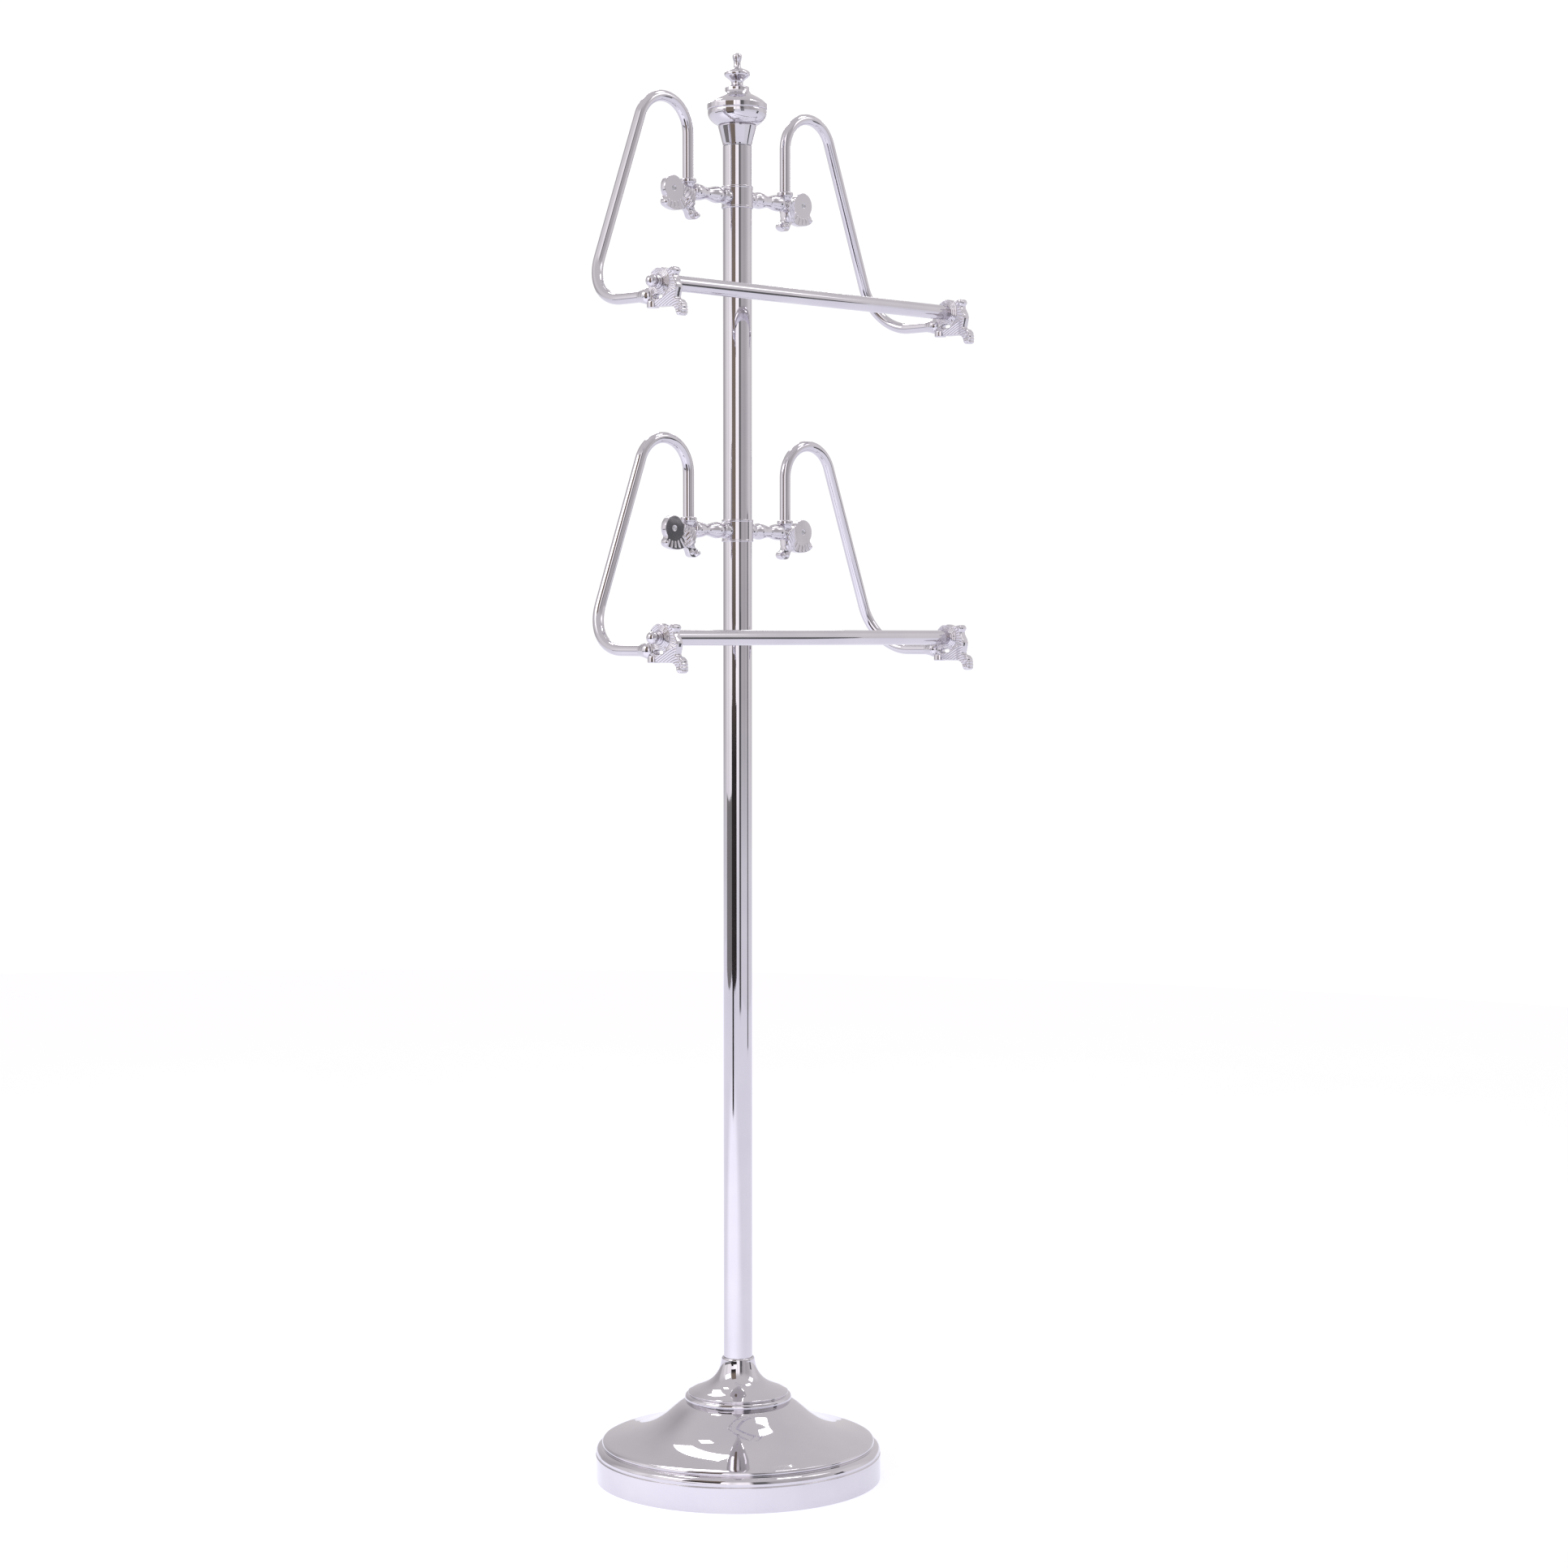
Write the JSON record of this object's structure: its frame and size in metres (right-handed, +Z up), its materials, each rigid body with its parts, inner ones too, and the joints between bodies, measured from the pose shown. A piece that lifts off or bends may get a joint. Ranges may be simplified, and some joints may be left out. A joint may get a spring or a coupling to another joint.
{
  "type": "two-tier towel stand",
  "caption": "Free-standing chromed towel and garment stand: weighted round base, plain post, turned finial, and on each tier two bent arms that carry a straight bar in front.",
  "frame": {"origin": "centre of the base pad's underside, on the post's axis", "axes": "+Z up along the post; the bars run along X and hang at -Y, the front"},
  "size_m": [0.393, 0.254, 1.2595],
  "materials": {
    "chrome_plate": "polished plate with a faint cool violet cast",
    "cast_weight": "rough as cast, painted black",
    "floor_pad": "matte",
    "bare_steel": "machined"
  },
  "bodies": {
    "stand": {"base_bolt": "bare_steel", "base_cover": "chrome_plate", "base_neck": "chrome_plate", "base_pad": "floor_pad", "base_washer": "bare_steel", "base_weight": "cast_weight", "finial_bowl": "chrome_plate", "finial_cone": "chrome_plate", "finial_dome": "chrome_plate", "finial_knob": "chrome_plate", "finial_rim": "chrome_plate", "post_coupler_lower": "bare_steel", "post_coupler_upper": "bare_steel", "post_foot_plug": "bare_steel", "post_lower": "chrome_plate", "post_middle": "chrome_plate", "post_upper": "chrome_plate"},
    "upper_tier": {"upper_bar": "chrome_plate", "upper_collar": "chrome_plate", "upper_collar_screw": "chrome_plate", "upper_spindle_left": "chrome_plate", "upper_hub_left": "chrome_plate", "upper_arm_left": "chrome_plate", "upper_post_bracket_left": "chrome_plate", "upper_bracket_screw_left": "chrome_plate", "upper_connector_left": "chrome_plate", "upper_bar_bracket_left": "chrome_plate", "upper_bar_knob_left": "chrome_plate", "upper_spindle_right": "chrome_plate", "upper_hub_right": "chrome_plate", "upper_arm_right": "chrome_plate", "upper_post_bracket_right": "chrome_plate", "upper_bracket_screw_right": "chrome_plate", "upper_connector_right": "chrome_plate", "upper_bar_bracket_right": "chrome_plate", "upper_bar_knob_right": "chrome_plate"},
    "lower_tier": {"lower_bar": "chrome_plate", "lower_collar": "chrome_plate", "lower_collar_screw": "chrome_plate", "lower_spindle_left": "chrome_plate", "lower_hub_left": "chrome_plate", "lower_arm_left": "chrome_plate", "lower_post_bracket_left": "chrome_plate", "lower_bracket_screw_left": "chrome_plate", "lower_connector_left": "chrome_plate", "lower_bar_bracket_left": "chrome_plate", "lower_bar_knob_left": "chrome_plate", "lower_spindle_right": "chrome_plate", "lower_hub_right": "chrome_plate", "lower_arm_right": "chrome_plate", "lower_post_bracket_right": "chrome_plate", "lower_bracket_screw_right": "chrome_plate", "lower_connector_right": "chrome_plate", "lower_bar_bracket_right": "chrome_plate", "lower_bar_knob_right": "chrome_plate"}
  },
  "joints": [
    {"name": "upper_tier_swivel", "type": "hinge", "parent": "stand", "child": "upper_tier", "pos_m": [0, 0, 1.134], "axis": [0, 0, 1], "continuous": true},
    {"name": "lower_tier_swivel", "type": "hinge", "parent": "stand", "child": "lower_tier", "pos_m": [0, 0, 0.8425], "axis": [0, 0, 1], "continuous": true}
  ]
}
